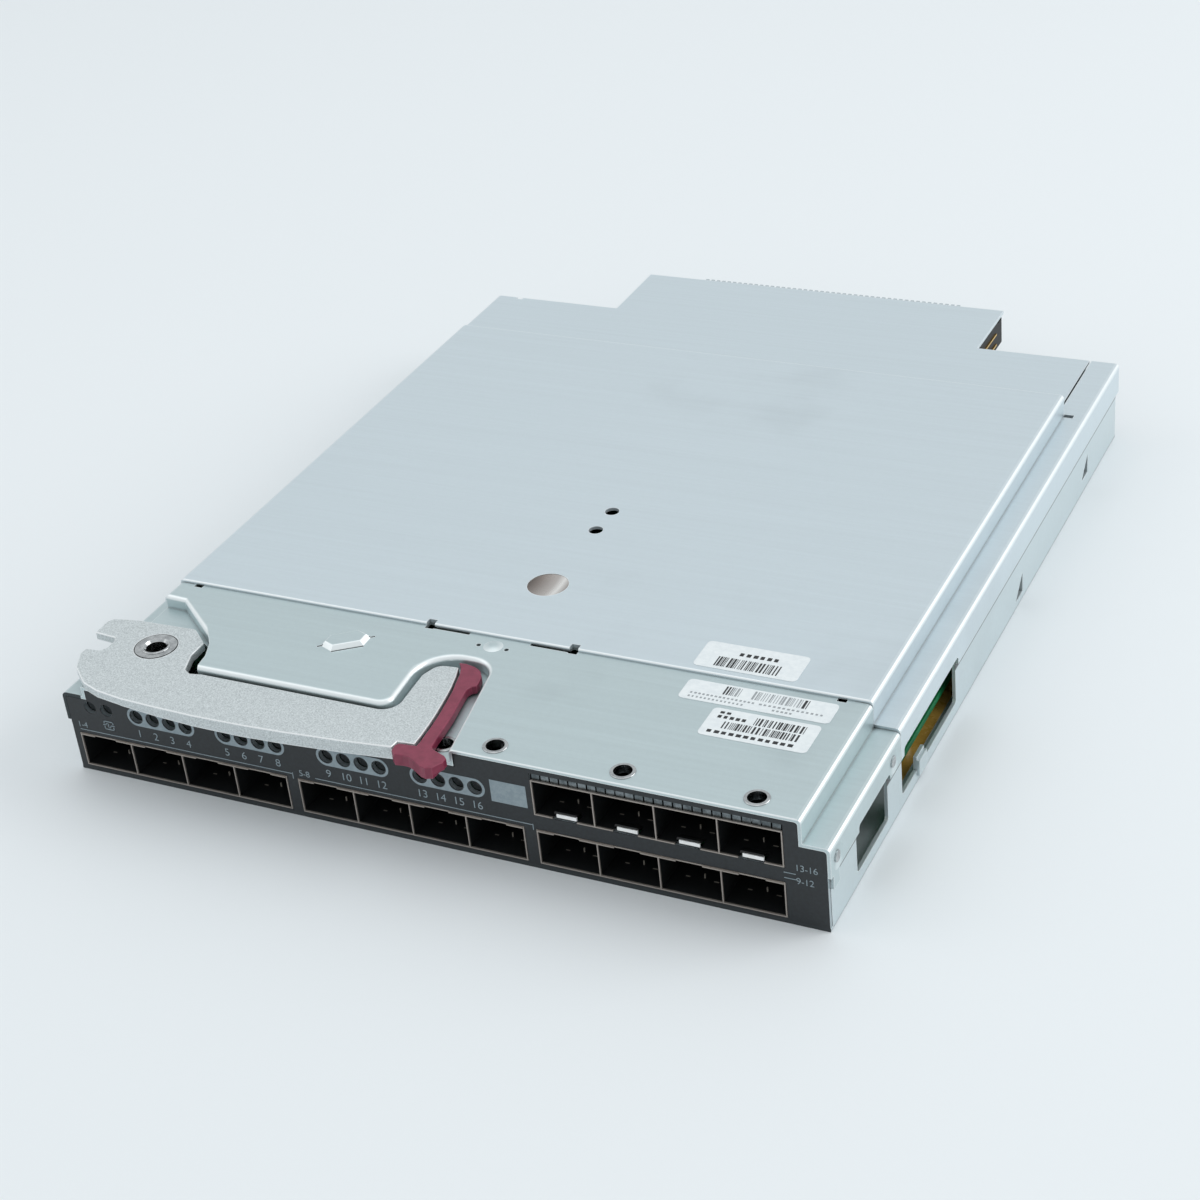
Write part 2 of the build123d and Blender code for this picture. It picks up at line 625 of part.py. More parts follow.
power_x1 = tongue_w / 2
power = block(power_x0, power_x1, board_rear_d + 6.0, tongue_rear - 6.0, board_top, roof_z)
power += block(power_x0, power_x1, board_tongue_d + fit, tongue_rear - 0.4, board_top, roof_z - 0.6)
power = fillet(power.edges().filter_by(Axis.Z).sort_by(Axis.Y)[-2:], 2.0)
power += block(power_x1 - 3.6, power_x1 - 1.6, tongue_rear - 2.6, tongue_rear + connector_proud,
               roof_z - 2.4, roof_z - 0.6)
blade_z = [15.2, 18.4]
blade_t = 0.5
for z in blade_z:
    power -= block(power_x0 + 2, power_x1 + 1, board_rear_d + 9.0, tongue_rear - 8.0, z, z + blade_t)
save(power, "power_connector")
blades = [block(power_x0 + 2, power_x1 + 0.4, board_rear_d + 9.0, tongue_rear - 8.0, z, z + blade_t)
          for z in blade_z]
save(Compound(blades), "power_blades")
guide = block(-tongue_w / 2 + 2.2, comb_x0 - 2.6, board_rear_d + 6.0, tongue_rear - 1.0, board_top, roof_z)
guide -= bore((-tongue_w / 2 + comb_x0 - 0.4) / 2, tongue_rear - 12, tongue_rear, 17.6, 2.6)
save(guide, "guide_socket")


# Eyelets through the deck and the front plate return
def eyelet(x, d, top, depth, r_in, r_barrel, r_flange, t):
    """Rolled eyelet: barrel, flat head above and rolled foot below."""
    shape = rod(x, d, top - depth, top + t, r_barrel) + rod(x, d, top, top + t, r_flange)
    shape += rod(x, d, top - depth - t, top - depth, r_barrel + (r_flange - r_barrel) * 0.6)
    head = shape.edges().filter_by(GeomType.CIRCLE).group_by(Axis.Z)[-1]
    shape = fillet(head, t * 0.8)
    return shape - rod(x, d, top - depth - 1, top + t + 1, r_in)


eyelets = [eyelet(x, eyelet_d, deck_h, 2 * sheet, eyelet_r, eyelet_barrel_r, eyelet_flange_r,
                  eyelet_flange_t) for x in eyelet_x]
eyelets.append(eyelet(bay_eyelet[0], bay_eyelet[1], bay_floor, 2 * sheet, eyelet_r, eyelet_barrel_r,
                      eyelet_flange_r, eyelet_flange_t))
save(Compound(eyelets), "deck_eyelets")

# Flush rivets that hold the deck flanges to the base walls
rivets = []
for side in (-1, 1):
    for d in rivet_d:
        x0, x1 = sorted((side * (wall_in - 0.3), side * half_w))
        stem = cross(x0, x1, d, rivet_z, rivet_hole_r)
        x0, x1 = sorted((side * (wall_in - 0.6), side * wall_in))
        rivets.append(stem + cross(x0, x1, d, rivet_z, rivet_hole_r + 0.7))
save(Compound(rivets), "side_rivets")
for side in (-1, 1):
    for d in rivet_d:
        dish = Pos(side * (half_w + 0.001), back(d), rivet_z) * Rot(0, side * 90, 0)
        cone = Cone(rivet_hole_r, rivet_dish_r, 0.35, align=(Align.CENTER, Align.CENTER, Align.MAX))
        deck -= dish * cone

# Lever: flat cam lever with two claws, a lobe at its free end and a lower front rim
claw = [(-90.6, 26.4, 1.0), (-97.0, 25.2, 1.2), (-98.0, 23.6, 0.6), (-97.9, 18.6, 0.3), (-91.9, 18.1, 0.4),
        (-91.0, 16.6, 0.8), (-91.1, 13.6, 0.8), (-92.1, 12.2, 0.4), (-95.8, 12.0, 0.3), (-95.9, 9.6, 0.8),
        (-93.3, 4.4, 3.0), (-87.6, -0.6, 3.0)]
rim_line = [(-82.6, -2.5), (-75.0, -3.7), (-65.0, -4.2), (-54.6, -4.5), (-42.4, -4.3), (-32.0, -3.8),
            (-16.7, -2.6), (-4.9, -1.3)]
lobe = [(-4.7, 1.0, 0.2), (-0.6, 1.2, 0.3), (-0.7, 4.6, 0), (-1.1, 9.1, 0), (-1.6, 13.3, 0),
        (-2.4, 18.5, 0), (-3.2, 23.0, 0), (-4.4, 27.7, 0), (-5.5, 31.1, 0.5), (-10.6, 30.6, 3.0),
        (-12.2, 26.0, 3.0), (-11.4, 14.8, 3.0), (-12.2, bay_front_d - 0.7, 4.0)]
nose = [(-62.0, bay_front_d - 0.7, 0.4), (-65.2, 10.2, 0.8), (-67.2, 11.4, 1.0), (-69.2, 17.0, 3.0),
        (-69.2, 22.4, 0.8), (-74.6, 27.0, 2.0)]
lever_corners = claw + [(x, d, 0) for x, d in rim_line] + lobe + nose
lever = extrude(rounded(lever_corners, lever_bottom), lever_t, dir=(0, 0, 1))
lever = fillet(along_top(lever, lever_top, -90 * wide, 0, -8, 3), lever_edge_r)
rim_taper = [(-76.0, 0.0), (-66.0, 0.6), (-56.0, 1.0), (-42.0, lever_rim_drop), (-4.0, lever_rim_drop)]
rim = plate(wider(rim_line + [(x, d + lever_rim_t) for x, d in reversed(rim_line)]),
            lever_bottom - lever_rim_drop, lever_bottom + fit)
keep = [(x * wide, lever_bottom - drop) for x, drop in rim_taper]
rim &= profile(keep + [(keep[-1][0], lever_top), (keep[0][0], lever_top)], -8, -rim_clear)
lever += rim
latch_x, latch_d = -1.6 * wide, 28.6
ear_t = 0.7
ear = plate(wider([(-5.6, 25.4), (-1.8, 25.6), (0.4, 27.4), (0.3, 29.9), (-1.9, 30.8), (-5.6, 29.4)]),
            lever_bottom, lever_bottom + ear_t)
lever += ear
lever -= rod(pivot_x, pivot_d, lever_bottom - 1, lever_top + 1, pivot_barrel_r + pivot_play)
lever -= rod(pivot_x, pivot_d, lever_top - pivot_sink, lever_top + 1, pivot_flange_r + 0.3)
lever -= rod(latch_x, latch_d, lever_bottom - 1, lever_top + 1, latch_pin_r)

# Flanged bush that carries the lever, riveted to the bay floor
bush_top = lever_top - pivot_sink + lever_gap / 2
ring_top = bush_top + pivot_flange_t + pivot_ring_rise
bush = rod(pivot_x, pivot_d, under_bay - 0.5, bush_top + pivot_flange_t, pivot_barrel_r)
bush += rod(pivot_x, pivot_d, bush_top, bush_top + pivot_flange_t, pivot_flange_r)
bush += rod(pivot_x, pivot_d, bush_top, ring_top, pivot_bore_r + 1.0)
bush += rod(pivot_x, pivot_d, under_bay - 0.5, under_bay, pivot_barrel_r + 1.2)
bush = fillet(bush.edges().filter_by(GeomType.CIRCLE).group_by(Axis.Z)[-1], pivot_ring_rise * 0.8)
bush -= rod(pivot_x, pivot_d, under_bay - 2, bush_top + 2, pivot_bore_r)
bush -= Pos(pivot_x, back(pivot_d), ring_top) * Cone(
    pivot_bore_r, pivot_bore_r + 0.5, 0.6, align=(Align.CENTER, Align.CENTER, Align.MAX))
save(bush, "pivot_bush")

# Release latch: plastic bar on a pin in the lever lobe, with a T-shaped thumb head
latch_z0 = lever_bottom + latch_lift
latch_z1 = latch_z0 + latch_t
bar = [(0.6, 1.4), (4.0, 0.9), (3.4, 4.6), (3.1, 8.5), (2.6, 13.0), (1.8, 17.4), (1.2, 20.8),
       (0.9, 23.1), (1.4, 24.3), (2.3, 24.9), (2.2, 26.4), (1.6, 28.8), (0.2, 30.8), (-1.6, 31.8),
       (-4.2, 32.4), (-6.0, 32.3), (-4.7, 30.6), (-3.6, 27.9), (-3.0, 25.4), (-2.0, 21.4), (-1.2, 17.0),
       (-0.4, 12.0), (0.1, 7.6), (0.4, 3.6)]
head = [(-3.6, 0.0), (-4.2, -0.9), (-3.9, -2.9), (-2.7, -4.0), (-0.7, -3.7), (0.7, -3.8), (2.2, -4.5),
        (4.8, -6.1), (6.2, -6.5), (7.7, -5.9), (9.1, -3.4), (9.0, -1.8), (8.2, -1.1), (4.6, 0.3),
        (4.0, 1.0), (0.6, 1.5), (0.5, 0.3)]
head_drop = 0.9
latch = plate(wider(bar), latch_z0, latch_z1)
latch += plate(wider(head), latch_z0, latch_z1)
latch += plate(wider([p for p in head if p[1] < -0.2 and p[0] < 9.0]), latch_z0 - head_drop, latch_z1)
latch = fillet(along_top(latch, latch_z1, -8, 12, -8, 34), 0.25)
latch -= plate(wider([(-7.0, 24.6), (0.9, 24.6), (1.2, 31.6), (-7.0, 33.0)]),
               latch_z0 - 1, lever_bottom + ear_t + fit)
pin_top = latch_z1 - 0.6
latch -= rod(latch_x, latch_d, latch_z0 - 1, pin_top + fit, latch_pin_r + pivot_play)
save(latch, "release_latch")
save(rod(latch_x, latch_d, lever_bottom, pin_top, latch_pin_r), "latch_pin")
leaf_t = 0.15
spring_top = lever_top - 0.9
spring = plate([(x + latch_x, d) for x, d in (
    (0.0, 10.0), (leaf_t, 10.0), (0.5 + leaf_t, 5.8), (1.15 + leaf_t, 4.4), (1.15, 4.4), (0.5, 5.8))],
    lever_bottom + 0.3, spring_top)
pocket = plate([(x + latch_x, d) for x, d in ((0.0, 11.0), (0.9, 11.0), (1.6, 4.0), (0.0, 4.0))],
               lever_bottom - 1, spring_top + 0.2)
save(lever - pocket, "lever")
save(spring, "latch_spring")

# Paper labels on the cover and the deck
label_t = 0.1
labels = {
    "label_cover": (46.4, 71.0, joint_d + 1.8, joint_d + 11.9, cover_h),
    "label_deck_long": (47.8, 83.0, 33.1, 40.6, deck_h),
    "label_deck_square": (57.3, 82.2, 21.6, 31.9, deck_h),
}
for name, (x0, x1, d0, d1, z) in labels.items():
    label = block(x0, x1, d0, d1, z, z + label_t)
    save(fillet(label.edges().filter_by(Axis.Z), 1.2), name)

save(base, "base_pan")
save(deck, "front_deck")
save(cover, "top_cover")
save(disc, "cover_disc")
save(board, "main_board")
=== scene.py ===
import math
import random

import bmesh
import bpy
from mathutils import Matrix, Vector


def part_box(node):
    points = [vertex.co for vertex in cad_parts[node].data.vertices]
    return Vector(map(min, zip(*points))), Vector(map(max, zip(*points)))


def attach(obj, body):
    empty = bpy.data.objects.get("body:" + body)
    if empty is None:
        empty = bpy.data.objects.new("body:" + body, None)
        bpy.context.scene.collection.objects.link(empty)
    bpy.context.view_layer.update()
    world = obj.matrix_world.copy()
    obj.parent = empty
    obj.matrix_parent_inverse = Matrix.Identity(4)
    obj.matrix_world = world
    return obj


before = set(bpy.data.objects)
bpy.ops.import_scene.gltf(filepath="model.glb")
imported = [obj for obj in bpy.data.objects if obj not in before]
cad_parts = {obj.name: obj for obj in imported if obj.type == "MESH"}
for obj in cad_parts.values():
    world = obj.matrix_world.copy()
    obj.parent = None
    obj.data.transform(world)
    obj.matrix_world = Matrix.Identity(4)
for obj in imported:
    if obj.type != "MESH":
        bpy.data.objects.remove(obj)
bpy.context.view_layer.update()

# Chassis sheets
# Base pan, front deck and main cover are bent from zinc-coated steel sheet, pale
# blue-grey and half matt. Rolling leaves fine streaks across the sheet, and handling
# leaves a few faint grey smudges on the cover.


def tint(code):
    """Linear colour of a hex colour."""
    parts = [int(code[i:i + 2], 16) / 255 for i in (1, 3, 5)]
    return [p / 12.92 if p < 0.04045 else ((p + 0.055) / 1.055) ** 2.4 for p in parts] + [1.0]


def add_node(tree, kind, **settings):
    """A node of the given kind with its settings, or socket values by name."""
    node = tree.nodes.new(kind)
    for key, value in settings.items():
        if key in node.bl_rna.properties:
            setattr(node, key, value)
        else:
            node.inputs[key.replace("_", " ")].default_value = value
    return node


def reckon(tree, operation, *values):
    """Output of a math node over other outputs and plain numbers."""
    node = add_node(tree, "ShaderNodeMath", operation=operation)
    for socket, value in zip(node.inputs, values):
        if isinstance(value, float):
            socket.default_value = value
        else:
            tree.links.new(value, socket)
    return node.outputs[0]


def dimmed(tree, colour, amount):
    """Output of a colour times an amount."""
    node = add_node(tree, "ShaderNodeVectorMath", operation="SCALE")
    tree.links.new(colour, node.inputs[0])
    tree.links.new(amount, node.inputs["Scale"])
    return node.outputs["Vector"]


def place_in(tree):
    """Node with the object's own X, Y and Z as outputs."""
    where = add_node(tree, "ShaderNodeTexCoord")
    apart = add_node(tree, "ShaderNodeSeparateXYZ")
    tree.links.new(where.outputs["Object"], apart.inputs["Vector"])
    return apart


def zinc_group():
    """Streaks, mottling and smudges of rolled zinc-coated sheet."""
    group = bpy.data.node_groups.new("zinc_sheet", "ShaderNodeTree")
    for name, kind, value in (("Base", "NodeSocketColor", tint("#C3D0D6")),
                              ("Streak", "NodeSocketFloat", 0.04),
                              ("Smudge", "NodeSocketFloat", 0.1),
                              ("Rough", "NodeSocketFloat", 0.4)):
        group.interface.new_socket(name, in_out="INPUT", socket_type=kind).default_value = value
    group.interface.new_socket("Color", in_out="OUTPUT", socket_type="NodeSocketColor")
    group.interface.new_socket("Roughness", in_out="OUTPUT", socket_type="NodeSocketFloat")
    group.interface.new_socket("Normal", in_out="OUTPUT", socket_type="NodeSocketVector")
    link = group.links.new
    inside = add_node(group, "NodeGroupInput")
    outside = add_node(group, "NodeGroupOutput")
    where = add_node(group, "ShaderNodeTexCoord")
    stretch = add_node(group, "ShaderNodeMapping")
    stretch.inputs["Scale"].default_value = (14.0, 900.0, 900.0)
    link(where.outputs["Object"], stretch.inputs["Vector"])
    streak = add_node(group, "ShaderNodeTexNoise", Scale=1.0, Detail=4.0, Roughness=0.6)
    link(stretch.outputs["Vector"], streak.inputs["Vector"])
    mottle = add_node(group, "ShaderNodeTexNoise", Scale=900.0, Detail=3.0, Roughness=0.7)
    link(where.outputs["Object"], mottle.inputs["Vector"])
    cloud = add_node(group, "ShaderNodeTexNoise", Scale=16.0, Detail=4.0, Roughness=0.55)
    link(where.outputs["Object"], cloud.inputs["Vector"])
    spots = add_node(group, "ShaderNodeMapRange", interpolation_type="SMOOTHSTEP")
    spots.inputs["From Min"].default_value = 0.6
    spots.inputs["From Max"].default_value = 0.76
    link(cloud.outputs["Fac"], spots.inputs["Value"])

    def around_one(pattern, gain):
        """1 plus the centred pattern times the streak amount and a gain."""
        centred = reckon(group, "SUBTRACT", pattern.outputs["Fac"], 0.5)
        scaled = reckon(group, "MULTIPLY", centred, inside.outputs["Streak"])
        return reckon(group, "MULTIPLY_ADD", scaled, gain, 1.0)

    marking = reckon(group, "MULTIPLY", around_one(streak, 2.0), around_one(mottle, 1.0))
    dark = reckon(group, "MULTIPLY", spots.outputs["Result"], inside.outputs["Smudge"])
    total = reckon(group, "MULTIPLY", marking, reckon(group, "SUBTRACT", 1.0, dark))
    link(dimmed(group, inside.outputs["Base"], total), outside.inputs["Color"])
    rough = reckon(group, "MULTIPLY", inside.outputs["Rough"], around_one(streak, 4.0))
    link(rough, outside.inputs["Roughness"])
    bump = add_node(group, "ShaderNodeBump", Strength=0.05, Distance=0.00005)
    link(streak.outputs["Fac"], bump.inputs["Height"])
    link(bump.outputs["Normal"], outside.inputs["Normal"])
    return group


def new_finish(name, colour="#808080", roughness=0.5, metallic=0.0):
    """A material with its shader's plain values set."""
    finish = bpy.data.materials.new(name)
    finish.use_nodes = True
    shader = finish.node_tree.nodes["Principled BSDF"]
    shader.inputs["Base Color"].default_value = tint(colour)
    shader.inputs["Roughness"].default_value = roughness
    shader.inputs["Metallic"].default_value = metallic
    finish.diffuse_color = tint(colour)
    return finish, finish.node_tree, shader


def dress(finish, *names):
    """Gives carried-over parts their material."""
    for name in names:
        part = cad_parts[name]
        part.data.materials.clear()
        part.data.materials.append(finish)


zinc_sheet = zinc_group()


def edge_light(tree, shader, colour_output, edge_colour, edge_r=0.00035, reach=0.0016,
               edge=0.8, crease=0.75, bend=0.0):
    """Painted highlights on edges and bends and painted shade in creases over a material's colour."""
    link = tree.links.new
    normal = add_node(tree, "ShaderNodeNewGeometry")
    apart = add_node(tree, "ShaderNodeSeparateXYZ")
    link(normal.outputs["Normal"], apart.inputs["Vector"])
    # Painted highlight on bends: sloped normals turn towards the highlight colour.
    slope = add_node(tree, "ShaderNodeValToRGB")
    steps = slope.color_ramp.elements
    steps[0].position, steps[0].color = 0.1, (0, 0, 0, 1)
    steps[1].position, steps[1].color = 0.99, (0, 0, 0, 1)
    for place in (0.4, 0.86):
        steps.new(place).color = (bend, bend, bend, 1)
    link(apart.outputs["Z"], slope.inputs["Fac"])
    # Painted highlight on edges, where the bevelled normal turns away from the face.
    bevel = add_node(tree, "ShaderNodeBevel", samples=4, Radius=edge_r)
    dot = add_node(tree, "ShaderNodeVectorMath", operation="DOT_PRODUCT")
    link(normal.outputs["Normal"], dot.inputs[0])
    link(bevel.outputs["Normal"], dot.inputs[1])
    at_edge = add_node(tree, "ShaderNodeMapRange")
    for socket, value in (("From Min", 0.995), ("From Max", 0.9), ("To Min", 0.0), ("To Max", edge)):
        at_edge.inputs[socket].default_value = value
    link(dot.outputs["Value"], at_edge.inputs["Value"])
    lit = reckon(tree, "MAXIMUM", at_edge.outputs["Result"], slope.outputs["Color"])
    # Painted shade in creases, from ambient occlusion over a short reach.
    around = add_node(tree, "ShaderNodeAmbientOcclusion", samples=8, Distance=reach)
    crease_shade = add_node(tree, "ShaderNodeMapRange", interpolation_type="SMOOTHSTEP")
    for socket, value in (("From Min", 0.15), ("From Max", 0.8), ("To Min", 1.0 - crease), ("To Max", 1.0)):
        crease_shade.inputs[socket].default_value = value
    link(around.outputs["AO"], crease_shade.inputs["Value"])
    highlighted = add_node(tree, "ShaderNodeMix", data_type="RGBA")
    link(lit, highlighted.inputs[0])
    link(colour_output, highlighted.inputs[6])
    highlighted.inputs[7].default_value = tint(edge_colour)
    link(dimmed(tree, highlighted.outputs[2], crease_shade.outputs["Result"]), shader.inputs["Base Color"])


def zinc_finish(name, colour, streak, smudge, roughness, metallic):
    """A zinc-coated sheet material."""
    finish, tree, shader = new_finish(name, colour, roughness, metallic)
    skin = add_node(tree, "ShaderNodeGroup", node_tree=zinc_sheet)
    skin.inputs["Base"].default_value = tint(colour)
    skin.inputs["Streak"].default_value = streak
    skin.inputs["Smudge"].default_value = smudge
    skin.inputs["Rough"].default_value = roughness
    # Painted highlights on the sheet's edges and bends, and painted shade in its creases.
    edge_light(tree, shader, skin.outputs["Color"], "#FAFDFD", bend=0.85)
    tree.links.new(skin.outputs["Roughness"], shader.inputs["Roughness"])
    tree.links.new(skin.outputs["Normal"], shader.inputs["Normal"])
    return finish


dress(zinc_finish("cover_zinc", "#D2DDE2", 0.05, 0.07, 0.40, 0.60), "top_cover")
deck_zinc = zinc_finish("deck_zinc", "#C4D2D4", 0.07, 0.14, 0.36, 0.65)
dress(deck_zinc, "front_deck")
pan_zinc = zinc_finish("pan_zinc", "#CED9DC", 0.05, 0.05, 0.40, 0.60)
dress(pan_zinc, "base_pan")

# Cover disc
# A polished nickel disc sits in a round hole of the cover, dished like a shallow bowl. Its colour
# is a painted reflection of the room, a warm grey spot dark at the left and brightest right of centre,
# with painted shade at its rim and a painted highlight on its edge.
nickel, nickel_tree, nickel_shader = new_finish("disc_nickel", "#CFC7C2", 0.22, 1.0)
nickel_grain = add_node(nickel_tree, "ShaderNodeTexNoise", Scale=700.0, Detail=3.0)
nickel_where = add_node(nickel_tree, "ShaderNodeTexCoord")
nickel_range = add_node(nickel_tree, "ShaderNodeMapRange")
nickel_range.inputs["To Min"].default_value = 0.16
nickel_range.inputs["To Max"].default_value = 0.34
nickel_tree.links.new(nickel_where.outputs["Object"], nickel_grain.inputs["Vector"])
nickel_tree.links.new(nickel_grain.outputs["Fac"], nickel_range.inputs["Value"])
nickel_tree.links.new(nickel_range.outputs["Result"], nickel_shader.inputs["Roughness"])
reflection_xyz = add_node(nickel_tree, "ShaderNodeSeparateXYZ")
nickel_tree.links.new(nickel_where.outputs["Object"], reflection_xyz.inputs["Vector"])
across = add_node(nickel_tree, "ShaderNodeMapRange")
across.inputs["From Min"].default_value = -0.005
across.inputs["From Max"].default_value = 0.005
nickel_tree.links.new(reflection_xyz.outputs["X"], across.inputs["Value"])
painted_reflection = add_node(nickel_tree, "ShaderNodeValToRGB")
painted_reflection.color_ramp.elements[0].color = tint("#6F6762")
painted_reflection.color_ramp.elements[1].color = tint("#A79F99")
for place, code in ((0.22, "#978D87"), (0.6, "#CBC4BF"), (0.78, "#FBF8F4")):
    painted_reflection.color_ramp.elements.new(place).color = tint(code)
nickel_tree.links.new(across.outputs["Result"], painted_reflection.inputs["Fac"])
# Painted highlight on the disc's edge and painted shade in the crease of its rim.
edge_light(nickel_tree, nickel_shader, painted_reflection.outputs["Color"], "#E8E4E0", 0.0003, 0.0014, 0.3, 0.85)
dress(nickel, "cover_disc")

# Front plate
# The pierced face is printed satin charcoal in front, while its cut edges and its
# folded return stay bare steel. The print is a thin skin, so it follows the face only.
front_y = -0.1117
print_depth = 0.00012
cut_edge_depth = 0.0002


def grain_group():
    """Fine random grain that moves a value and lifts the surface a little."""
    group = bpy.data.node_groups.new("fine_grain", "ShaderNodeTree")
    for name, kind, value in (("Color A", "NodeSocketColor", tint("#808080")),
                              ("Color B", "NodeSocketColor", tint("#909090")),
                              ("Scale", "NodeSocketFloat", 1500.0),
                              ("Rough A", "NodeSocketFloat", 0.4),
                              ("Rough B", "NodeSocketFloat", 0.6),
                              ("Height", "NodeSocketFloat", 0.1)):
        group.interface.new_socket(name, in_out="INPUT", socket_type=kind).default_value = value
    group.interface.new_socket("Color", in_out="OUTPUT", socket_type="NodeSocketColor")
    group.interface.new_socket("Roughness", in_out="OUTPUT", socket_type="NodeSocketFloat")
    group.interface.new_socket("Normal", in_out="OUTPUT", socket_type="NodeSocketVector")
    link = group.links.new
    inside = add_node(group, "NodeGroupInput")
    outside = add_node(group, "NodeGroupOutput")
    where = add_node(group, "ShaderNodeTexCoord")
    grain = add_node(group, "ShaderNodeTexNoise", Detail=3.0, Roughness=0.65)
    link(where.outputs["Object"], grain.inputs["Vector"])
    link(inside.outputs["Scale"], grain.inputs["Scale"])
    spread = add_node(group, "ShaderNodeMapRange", interpolation_type="SMOOTHSTEP")
    spread.inputs["From Min"].default_value = 0.3
    spread.inputs["From Max"].default_value = 0.7
    link(grain.outputs["Fac"], spread.inputs["Value"])
    blend = add_node(group, "ShaderNodeMix", data_type="RGBA")
    link(spread.outputs["Result"], blend.inputs[0])
    link(inside.outputs["Color A"], blend.inputs[6])
    link(inside.outputs["Color B"], blend.inputs[7])
    link(blend.outputs[2], outside.inputs["Color"])
    rough = add_node(group, "ShaderNodeMapRange")
    link(grain.outputs["Fac"], rough.inputs["Value"])
    link(inside.outputs["Rough A"], rough.inputs["To Min"])
    link(inside.outputs["Rough B"], rough.inputs["To Max"])
    link(rough.outputs["Result"], outside.inputs["Roughness"])
    bump = add_node(group, "ShaderNodeBump", Distance=0.0001)
    link(grain.outputs["Fac"], bump.inputs["Height"])
    link(inside.outputs["Height"], bump.inputs["Strength"])
    link(bump.outputs["Normal"], outside.inputs["Normal"])
    return group


fine_grain = grain_group()


def grain_finish(name, dark, pale, scale=1500.0, rough=(0.4, 0.6), height=0.1, metallic=0.0):
    """A material whose colour and gloss vary by a fine grain."""
    finish, tree, shader = new_finish(name, pale, rough[1], metallic)
    grain = add_node(tree, "ShaderNodeGroup", node_tree=fine_grain)
    grain.inputs["Color A"].default_value = tint(dark)
    grain.inputs["Color B"].default_value = tint(pale)
    grain.inputs["Scale"].default_value = scale
    grain.inputs["Rough A"].default_value = rough[0]
    grain.inputs["Rough B"].default_value = rough[1]
    grain.inputs["Height"].default_value = height
    tree.links.new(grain.outputs["Color"], shader.inputs["Base Color"])
    tree.links.new(grain.outputs["Roughness"], shader.inputs["Roughness"])
    tree.links.new(grain.outputs["Normal"], shader.inputs["Normal"])
    return finish, tree, shader, grain


def split_at(tree, shader, socket, axis, place, low, high, grain_output=None):
    """Lets a shader value change from low, or a grain's colour, to high past a place."""
    test = reckon(tree, "GREATER_THAN", place_in(tree).outputs[axis], place)
    if socket == "Base Color":
        mix = add_node(tree, "ShaderNodeMix", data_type="RGBA")
        tree.links.new(test, mix.inputs[0])
        mix.inputs[6].default_value = tint(low)
        mix.inputs[7].default_value = tint(high)
        if grain_output:
            tree.links.new(grain_output, mix.inputs[6])
        tree.links.new(mix.outputs[2], shader.inputs[socket])
    else:
        span = add_node(tree, "ShaderNodeMapRange")
        tree.links.new(test, span.inputs["Value"])
        span.inputs["To Min"].default_value = low
        span.inputs["To Max"].default_value = high
        tree.links.new(span.outputs["Result"], shader.inputs[socket])


charcoal, charcoal_tree, charcoal_shader, charcoal_grain = grain_finish(
    "charcoal_print", "#171B1E", "#20262A", 1200.0, (0.34, 0.5), 0.08)
split_at(charcoal_tree, charcoal_shader, "Base Color", "Y", front_y + print_depth,
         "#33383B", "#B9C2C6", charcoal_grain.outputs["Color"])
split_at(charcoal_tree, charcoal_shader, "Metallic", "Y", front_y + print_depth, 0.0, 0.8)
dress(charcoal, "front_plate")


def dark_front(finish, colour, right_limit):
    """Makes the cut front edges of a sheet, left of a place, dark grey."""
    tree = finish.node_tree
    shader = tree.nodes["Principled BSDF"]
    before = shader.inputs["Base Color"].links[0].from_socket
    place = place_in(tree)
    at_front = reckon(tree, "LESS_THAN", place.outputs["Y"], front_y + cut_edge_depth)
    at_left = reckon(tree, "LESS_THAN", place.outputs["X"], right_limit)
    mix = add_node(tree, "ShaderNodeMix", data_type="RGBA")
    tree.links.new(reckon(tree, "MULTIPLY", at_front, at_left), mix.inputs[0])
    tree.links.new(before, mix.inputs[6])
    mix.inputs[7].default_value = tint(colour)
    tree.links.new(mix.outputs[2], shader.inputs["Base Color"])


dark_front(deck_zinc, "#3A4042", -0.09)
dark_front(pan_zinc, "#3C4143", 0.1)

# The pan's side walls carry a painted shadow from the lower edge of the deck's skirt upwards, so the
# lap shows as a dark line.
wall_face = 0.0945
skirt_low, skirt_high = 0.0118, 0.0123
lap_darkness = 0.88
pan_tree = pan_zinc.node_tree
pan_shader = pan_tree.nodes["Principled BSDF"]
pan_colour = pan_shader.inputs["Base Color"].links[0].from_socket
pan_place = place_in(pan_tree)
above_lap = add_node(pan_tree, "ShaderNodeMapRange", interpolation_type="SMOOTHSTEP")
for socket, value in (("From Min", skirt_low), ("From Max", skirt_high),
                      ("To Min", 0.0), ("To Max", lap_darkness)):
    above_lap.inputs[socket].default_value = value
pan_tree.links.new(pan_place.outputs["Z"], above_lap.inputs["Value"])
sideways = reckon(pan_tree, "ABSOLUTE", pan_place.outputs["X"])
on_wall = reckon(pan_tree, "GREATER_THAN", sideways, wall_face)
lap_shadow = reckon(pan_tree, "MULTIPLY", above_lap.outputs["Result"], on_wall)
light_left = reckon(pan_tree, "SUBTRACT", 1.0, lap_shadow)
pan_tree.links.new(dimmed(pan_tree, pan_colour, light_left), pan_shader.inputs["Base Color"])

# Printed marks
# Pale grey ink on the charcoal: a lozenge round each group of four light holes, the
# port numbers under the holes, the range of each port row, lines to the rows, a small
# pulse mark and a plain grey field. Each mark is a skin of ink on the face.
ink = grain_finish("grey_ink", "#84939A", "#93A0A6", 900.0, (0.45, 0.6), 0.05)[0]
ink_y = front_y * 1000 - 0.03
ink_skin = 0.05
light_z = 18.6
light_pitch = 4.55
group_x = (-74.9, -50.7, -23.7, 0.3)
lozenge_r = 2.45
light_hole_r = 1.85
capital_share = 0.69
row_line = 0.18
marks = []


def clear_selection():
    """Nothing selected, out of edit mode."""
    if bpy.context.mode != "OBJECT":
        bpy.ops.object.mode_set(mode="OBJECT")
    bpy.ops.object.select_all(action="DESELECT")


